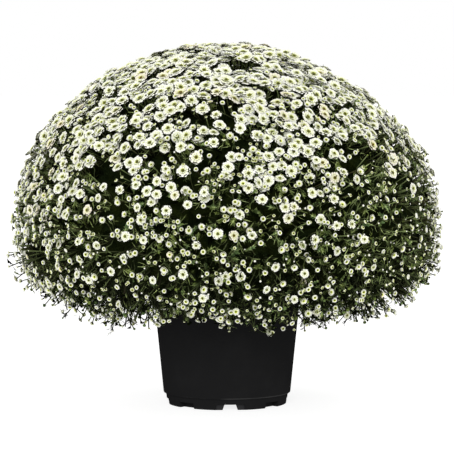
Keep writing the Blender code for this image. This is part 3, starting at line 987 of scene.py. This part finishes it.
    def fill_behind(self, bm, cluster):
        """A tuft deep behind the cluster, coloured dark as painted shade."""
        rng = self.rng
        radius = self.leaves.clump_radius
        centre = cluster.point - (TUFT_DEPTH + radius) * cluster.normal
        out = math.hypot(centre.x, centre.y)
        near_pot = out < RIM_RADIUS + radius and centre.z < POT_HEIGHT + radius
        if near_pot or centre.z < TUFT_LEAST_Z:
            return
        axis = scatter(rng).normalized()
        form = rng.choice(self.clump_forms)
        form.put_at(bm, centre, axis, radius, 0.0, TUFT_PAINTED_SHADE_LUCK)


def colour(name, value, description):
    """A colour that a user may change."""
    return bpy.props.FloatVectorProperty(
        name=name, description=description, default=value, size=3, min=0.0, max=1.0, subtype="COLOR"
    )


def amount(name, value, description, least=0.0, **more):
    """A number that a user may change."""
    return bpy.props.FloatProperty(name=name, description=description, default=value, min=least, **more)


def length(name, value, description):
    """A length in metres that a user may change."""
    return amount(name, value, description, unit="LENGTH")


def size_range(name, values, description):
    """A least and a greatest length in metres that a user may change."""
    return bpy.props.FloatVectorProperty(
        name=name, description=description, default=values, size=2, min=0.0, unit="LENGTH"
    )


def tally(name, value, description, least):
    """A whole number that a user may change."""
    return bpy.props.IntProperty(name=name, description=description, default=value, min=least)


class PotSettings(bpy.types.PropertyGroup):
    """Sizes and colour of the pot."""

    notch_height: length("Notch height", NOTCH_HEIGHT, "Height of the drain notches in the foot ring")
    segments: tally("Segments", 96, "Sides of the round wall", 24)
    roughness: amount("Roughness", 0.46, "Dullness of the plastic", max=1.0)
    colour: colour("Plastic", (0.0102, 0.0102, 0.0105), "Colour of the moulded plastic")
    # The ledge colour is a painted highlight along its edge
    ledge_highlight: colour("Scuffed edge", (0.030, 0.030, 0.030), "Colour of the worn ledge")


class SoilSettings(bpy.types.PropertyGroup):
    """Sizes and colours of the soil."""

    crumb: length("Crumb", 0.0024, "Height of the surface's crumbs")
    # The two soil colours paint shade in the hollows and light on the crumbs' tops
    colour: colour("Damp soil", (0.020, 0.013, 0.008), "Colour in the hollows")
    colour_crumb_tops: colour("Dry soil", (0.060, 0.040, 0.026), "Colour of the crumbs' tops")
    colour_grain: colour("Grains", (0.45, 0.43, 0.40), "Colour of the pale grains in the mix")


class BloomSettings(bpy.types.PropertyGroup):
    """Sizes and colours of the blooms and buds."""

    seed: bpy.props.IntProperty(name="Seed", description="Which plant of many", default=7)
    clusters: tally("Clusters", 640, "Clusters of blooms", 25)
    plenty: amount("Plenty", 1.0, "Share of blooms", max=1.5)
    sprigs: amount("Sprigs", 0.38, "Share of the skirt's clusters that stick out", max=1.0)
    sprig_reach: length("Sprig reach", 0.019, "How far a sprig sticks out of the skirt")
    closeness: amount("Closeness", 0.64, "Least distance of two blooms, over their radii")
    unevenness: length("Unevenness", 0.007, "How far clusters stand in or out of the dome")
    open_radii: size_range("Open bloom", (0.0080, 0.0108), "Least and greatest radius of an open bloom")
    half_radii: size_range("Half-open", (0.0048, 0.0066), "Least and greatest radius of a half-open bloom")
    ring_radii: size_range("Opening bud", (0.0034, 0.0047), "Least and greatest radius of an opening bud")
    young_radii: size_range("Young ring", (0.0021, 0.0034), "Least and greatest radius of a young ring")
    bud_radii: size_range("Bud", (0.0012, 0.0026), "Least and greatest radius of a bud")
    petal_colour: colour("Petal", (0.862, 0.868, 0.822), "White of fresh petals")
    petal_shade: colour("Petal, duller", (0.805, 0.797, 0.715), "White of the duller petals")
    petal_old: colour("Petal, old", (0.80, 0.68, 0.53), "Pink and cream of old petals")
    petal_foot: colour("Petal foot", (0.56, 0.62, 0.060), "Yellow-green where petals leave the eye")
    eye_colour: colour("Eye", (0.46, 0.49, 0.06), "Yellow-green of the eye's edge")
    eye_middle: colour("Eye middle", (0.045, 0.048, 0.006), "Olive of the eye's middle")
    eye_old: colour("Eye, old", (0.50, 0.22, 0.03), "Orange-brown of old eyes")


class LeafSettings(bpy.types.PropertyGroup):
    """Sizes and colours of the leaves and stems."""

    plenty: amount("Plenty", 1.0, "Share of leaves", max=1.5)
    lengths: size_range("Leaf", (0.012, 0.023), "Least and greatest length of a leaf")
    shoots: tally("Shoots", 6, "Least stalks in a cluster", 1)
    strands: tally("Strands", 32, "Narrow leaves in a cluster", 0)
    clump_radius: length("Inner tuft", 0.036, "Radius of the dark tufts of inner leaves")
    leaf_dark: colour("Leaf, dark", (0.0018, 0.0030, 0.0002), "Darkest leaf")
    leaf_light: colour("Leaf, light", (0.208, 0.272, 0.058), "Lightest leaf")
    leaf_cool: colour("Leaf, cool", (0.132, 0.212, 0.078), "Lightest leaf where the green is cooler")
    leaf_rib: colour("Leaf rib", (0.470, 0.550, 0.225), "Midrib")
    stem_colour: colour("Stem", (0.220, 0.280, 0.105), "Green stem")
    stem_brown: colour("Stem, brown", (0.050, 0.044, 0.018), "Brownish stem")


class StageSettings(bpy.types.PropertyGroup):
    """Floor, light and camera."""

    floor_side: length("Floor", 200.0, "Side of the floor")
    floor_colour: colour("Floor", (0.31, 0.31, 0.31), "Colour of the floor")
    floor_glow: amount("Floor glow", 0.83, "Own light of the floor")
    sky: amount("Sky", 1.0, "Strength of the even light")
    key: amount("Key", 1.15, "Strength of the soft sun")
    top: amount("Top", 0.60, "Strength of the light from above")
    camera_distance: length("Camera distance", 4.0, "From the pot's axis to the camera")
    camera_height: length("Camera height", 0.555, "Height of the camera")
    camera_pitch: amount(
        "Camera pitch", math.radians(3.548), "How far the camera looks down", -math.pi / 2, subtype="ANGLE"
    )
    lens: amount("Lens", 182.4, "Focal length in millimetres", 1.0)


class OBJECT_OT_chrysanthemum_pot(bpy.types.Operator):
    """Makes the black nursery pot with its rolled rim, ledge and notched foot"""

    bl_idname = "object.chrysanthemum_pot"
    bl_label = "Pot"

    def execute(self, context):
        settings = context.scene.chrysanthemum_pot
        # The panel copy is the plastic made lighter, as painted light on the recesses' backs
        finishes = (("black_plastic", 1.0), ("black_panel", 2.4))
        plastics = [plastic_finish(settings, name, painted_light_factor) for name, painted_light_factor in finishes]
        made = finished("pot_shell", spun(pot_section(), settings.segments), plastics)
        for cutter in notch_cutters(settings.notch_height):
            cut(made, cutter)
        mark_panels(made.data, settings.notch_height)
        made.data.shade_smooth()
        made.data.set_sharp_from_angle(angle=math.radians(32))
        kept(made, "black_plastic", "pot")
        return {"FINISHED"}


class OBJECT_OT_chrysanthemum_soil(bpy.types.Operator):
    """Makes the crumbly soil that fills the pot"""

    bl_idname = "object.chrysanthemum_soil"
    bl_label = "Soil"

    def execute(self, context):
        settings = context.scene.chrysanthemum_soil
        made = finished("soil_fill", soil_shape(settings), [soil_finish(settings)])
        kept(made, "potting_soil", "soil")
        return {"FINISHED"}


class OBJECT_OT_chrysanthemum_sprays(bpy.types.Operator):
    """Grows the sprays: stems, twigs, blooms, buds and leaves"""

    bl_idname = "object.chrysanthemum_sprays"
    bl_label = "Sprays"

    def execute(self, context):
        blooms = context.scene.chrysanthemum_blooms
        leaves = context.scene.chrysanthemum_leaves
        materials = [petal_finish(blooms), eye_finish(blooms), leaf_finish(leaves), stem_finish(leaves)]
        plant = Plant(blooms, leaves)
        for number in range(len(plant.places)):
            name = f"spray_{number + 1:02d}"
            made = finished(f"{name}_in_bloom", plant.grow_spray(number), materials)
            kept(made, "bloom_and_foliage", name)
        return {"FINISHED"}


class OBJECT_OT_chrysanthemum_stage(bpy.types.Operator):
    """Makes the floor, the light and the camera"""

    bl_idname = "object.chrysanthemum_stage"
    bl_label = "Stage"

    def execute(self, context):
        settings = context.scene.chrysanthemum_stage
        bm = bmesh.new()
        bmesh.ops.create_grid(bm, x_segments=1, y_segments=1, size=settings.floor_side / 2)
        floor = finished("floor", bm, [floor_finish(settings)])
        lighting(context.scene, settings)
        camera(context.scene, settings)
        return {"FINISHED"}


class VIEW3D_PT_chrysanthemum(bpy.types.Panel):
    """Lists the parts of the plant and its stage"""

    bl_idname = "VIEW3D_PT_chrysanthemum"
    bl_label = "Pot Chrysanthemum"
    bl_space_type = "VIEW_3D"
    bl_region_type = "UI"
    bl_category = "Chrysanthemum"

    def draw(self, context):
        for operator, names in PARTS:
            box = self.layout.box()
            box.operator(operator.bl_idname)
            for name in names:
                settings = getattr(context.scene, name)
                for prop in settings.__annotations__:
                    box.prop(settings, prop)


def pot_section():
    """The pot's wall and floor in section, from the floor's top round the rim to the floor's underside."""
    below_rim = POT_TOP_RADIUS - POT_LEAN * RIM_DEPTH
    inner_floor = POT_FOOT_RADIUS - WALL
    return [
        (0.0, POT_FLOOR_Z),
        (inner_floor - 0.003, POT_FLOOR_Z),
        (inner_floor - 0.0008, POT_FLOOR_Z + 0.0008),
        (inner_floor, POT_FLOOR_Z + 0.003),
        (inner_floor + 0.001, LEDGE_Z + 0.001),
        (POT_LEDGE_RADIUS - WALL, LEDGE_Z + 0.003),
        (POT_TOP_RADIUS - WALL, POT_HEIGHT - 0.0012),
        (POT_TOP_RADIUS - WALL + 0.0004, POT_HEIGHT - 0.0003),
        (POT_TOP_RADIUS - WALL + 0.0014, POT_HEIGHT),
        (RIM_RADIUS - 0.0020, POT_HEIGHT),
        (RIM_RADIUS - 0.0007, POT_HEIGHT - 0.0006),
        (RIM_RADIUS, POT_HEIGHT - 0.0020),
        (RIM_RADIUS - 0.0005, POT_HEIGHT - RIM_DEPTH + 0.0006),
        (RIM_RADIUS - 0.0011, POT_HEIGHT - RIM_DEPTH),
        (below_rim + 0.0012, POT_HEIGHT - RIM_DEPTH),
        (below_rim - 0.0001, POT_HEIGHT - RIM_DEPTH - 0.0014),
        (POT_LEDGE_RADIUS, LEDGE_Z + 0.0022),
        (POT_LEDGE_RADIUS - 0.0004, LEDGE_Z + 0.0007),
        (POT_LEDGE_RADIUS - 0.0016, LEDGE_Z),
        (POT_FOOT_RADIUS + 0.0026, LEDGE_Z - 0.0010),
        (POT_FOOT_RADIUS + 0.0018, LEDGE_Z - 0.0026),
        (POT_FOOT_RADIUS + 0.0004, 0.0035),
        (POT_FOOT_RADIUS - 0.0002, 0.0010),
        (POT_FOOT_RADIUS - 0.0014, 0.0),
        (POT_FOOT_RADIUS - FOOT_WIDTH, 0.0),
        (POT_FOOT_RADIUS - FOOT_WIDTH - 0.001, POT_FLOOR_Z - WALL),
        (0.0, POT_FLOOR_Z - WALL),
    ]


def notch_block(bm, width, taper, near, far, height, turn):
    """One block across the foot ring, narrower above."""
    block = bmesh.ops.create_cube(bm, size=2.0)["verts"]
    for corner in block:
        corner.co.x *= width / 2 * (taper if corner.co.z > 0 else 1.0)
        corner.co.y = -far if corner.co.y > 0 else -near
        corner.co.z = height if corner.co.z > 0 else -height
    bmesh.ops.rotate(bm, verts=block, cent=(0, 0, 0), matrix=Matrix.Rotation(turn, 3, "Z"))


def notch_cutters(height):
    """Blocks that cut a recess for each drain notch, and a throat through the ring for every other one."""
    outside = POT_FOOT_RADIUS + 0.010
    inside = POT_FOOT_RADIUS - FOOT_WIDTH - 0.004
    recesses = bmesh.new()
    throats = bmesh.new()
    for k in range(NOTCHES):
        turn = NOTCH_TURN + math.tau * k / NOTCHES
        through = k % 2 == 0
        face = POT_FOOT_RADIUS - (NOTCH_MOUTH_DEPTH if through else FOOT_WIDTH - 0.003)
        notch_block(recesses, NOTCH_MOUTH if through else NOTCH_THROAT, 0.98, outside, face, height, turn)
        if through:
            notch_block(throats, NOTCH_THROAT, NOTCH_TAPER, outside, inside, height * 0.97, turn)
    return finished("recess_cutter", recesses, []), finished("throat_cutter", throats, [])


def mark_panels(mesh, height):
    """Gives the backs of the wide recesses the lighter copy of the plastic, which is painted light."""
    for k in range(0, NOTCHES, 2):
        outward = turned(Vector((0, -1, 0)), NOTCH_TURN + math.tau * k / NOTCHES)
        for face in mesh.polygons:
            deep = face.center.dot(outward) - (POT_FOOT_RADIUS - NOTCH_MOUTH_DEPTH)
            if abs(deep) < 0.0003 and face.normal.dot(outward) > 0.99 and face.center.z < height:
                face.material_index = 1


def cut(target, cutter):
    """Cuts one solid out of another and removes the cutter."""
    modifier = target.modifiers.new("cut", "BOOLEAN")
    modifier.operation = "DIFFERENCE"
    modifier.object = cutter
    bpy.context.view_layer.update()
    graph = bpy.context.evaluated_depsgraph_get()
    shaped = bpy.data.meshes.new_from_object(target.evaluated_get(graph))
    target.modifiers.clear()
    target.data = shaped
    bpy.data.objects.remove(cutter)


def soil_shape(settings):
    """The root ball, with a crumbly top."""
    edge = POT_LEDGE_RADIUS + POT_LEAN * (SOIL_TOP - SOIL_MOUND - LEDGE_Z) - SOIL_GAP
    inner_floor = POT_FOOT_RADIUS - SOIL_GAP
    top = [
        (edge * k / SOIL_RINGS, SOIL_TOP - SOIL_MOUND * (k / SOIL_RINGS) ** 2) for k in range(SOIL_RINGS)
    ]
    bm = spun(
        top
        + [
            (edge - 0.001, SOIL_TOP - 2 * SOIL_MOUND),
            (POT_LEDGE_RADIUS - SOIL_GAP - 0.001, LEDGE_Z + 0.006),
            (inner_floor - 0.004, POT_FLOOR_Z + 0.004),
            (inner_floor - 0.006, POT_FLOOR_Z + 0.0004),
            (0.0, POT_FLOOR_Z + 0.0004),
        ],
        SOIL_SIDES,
    )
    rng = random.Random(SOIL_SEED)
    for vert in bm.verts:
        if vert.co.z > SOIL_TOP - SOIL_MOUND - 0.001:
            vert.co.z += rng.uniform(-1, 0.6) * settings.crumb
    return bm


def sun(scene, name, strength, angle, place):
    """A soft sun that shines from a place on the plant."""
    lamp = bpy.data.lights.new(name, "SUN")
    lamp.energy = strength
    lamp.angle = math.radians(angle)
    made = bpy.data.objects.new(name, lamp)
    scene.collection.objects.link(made)
    made.location = place
    aim = Vector(LIGHT_TARGET) - made.location
    made.rotation_euler = aim.to_track_quat("-Z", "Y").to_euler()


def lighting(scene, settings):
    """An even white sky, a soft sun above the camera and a weaker one above the plant."""
    world = bpy.data.worlds.new("studio")
    world.use_nodes = True
    backdrop = world.node_tree.nodes["Background"]
    backdrop.inputs["Color"].default_value = (1.0, 1.0, 1.0, 1.0)
    backdrop.inputs["Strength"].default_value = settings.sky
    scene.world = world
    sun(scene, "key", settings.key, 18, (-0.35, -3.3, 2.0))
    sun(scene, "top", settings.top, 40, (0.3, 1.4, 3.0))
    scene.view_settings.view_transform = "Standard"


def camera(scene, settings):
    """The photograph's view."""
    made = bpy.data.cameras.new("photo_view")
    made.lens = settings.lens
    made.sensor_width = 36.0
    placed = bpy.data.objects.new("photo_view", made)
    scene.collection.objects.link(placed)
    placed.location = (0.0, -settings.camera_distance, settings.camera_height)
    placed.rotation_euler = (math.pi / 2 - settings.camera_pitch, 0.0, 0.0)
    scene.camera = placed


PARTS = (
    (OBJECT_OT_chrysanthemum_pot, ("chrysanthemum_pot",)),
    (OBJECT_OT_chrysanthemum_soil, ("chrysanthemum_soil",)),
    (OBJECT_OT_chrysanthemum_sprays, ("chrysanthemum_blooms", "chrysanthemum_leaves")),
    (OBJECT_OT_chrysanthemum_stage, ("chrysanthemum_stage",)),
)

GROUPS = (
    ("chrysanthemum_pot", PotSettings),
    ("chrysanthemum_soil", SoilSettings),
    ("chrysanthemum_blooms", BloomSettings),
    ("chrysanthemum_leaves", LeafSettings),
    ("chrysanthemum_stage", StageSettings),
)


def register():
    """Adds the settings, the operators and the panel."""
    for name, group in GROUPS:
        bpy.utils.register_class(group)
        setattr(bpy.types.Scene, name, bpy.props.PointerProperty(type=group))
    for operator, _ in PARTS:
        bpy.utils.register_class(operator)
    bpy.utils.register_class(VIEW3D_PT_chrysanthemum)


def unregister():
    """Takes the panel, the operators and the settings away."""
    bpy.utils.unregister_class(VIEW3D_PT_chrysanthemum)
    for operator, _ in reversed(PARTS):
        bpy.utils.unregister_class(operator)
    for name, group in reversed(GROUPS):
        delattr(bpy.types.Scene, name)
        bpy.utils.unregister_class(group)


def main():
    """Builds the whole plant."""
    register()
    bpy.ops.object.chrysanthemum_stage()
    bpy.ops.object.chrysanthemum_pot()
    bpy.ops.object.chrysanthemum_soil()
    bpy.ops.object.chrysanthemum_sprays()


if __name__ == "__main__":
    main()
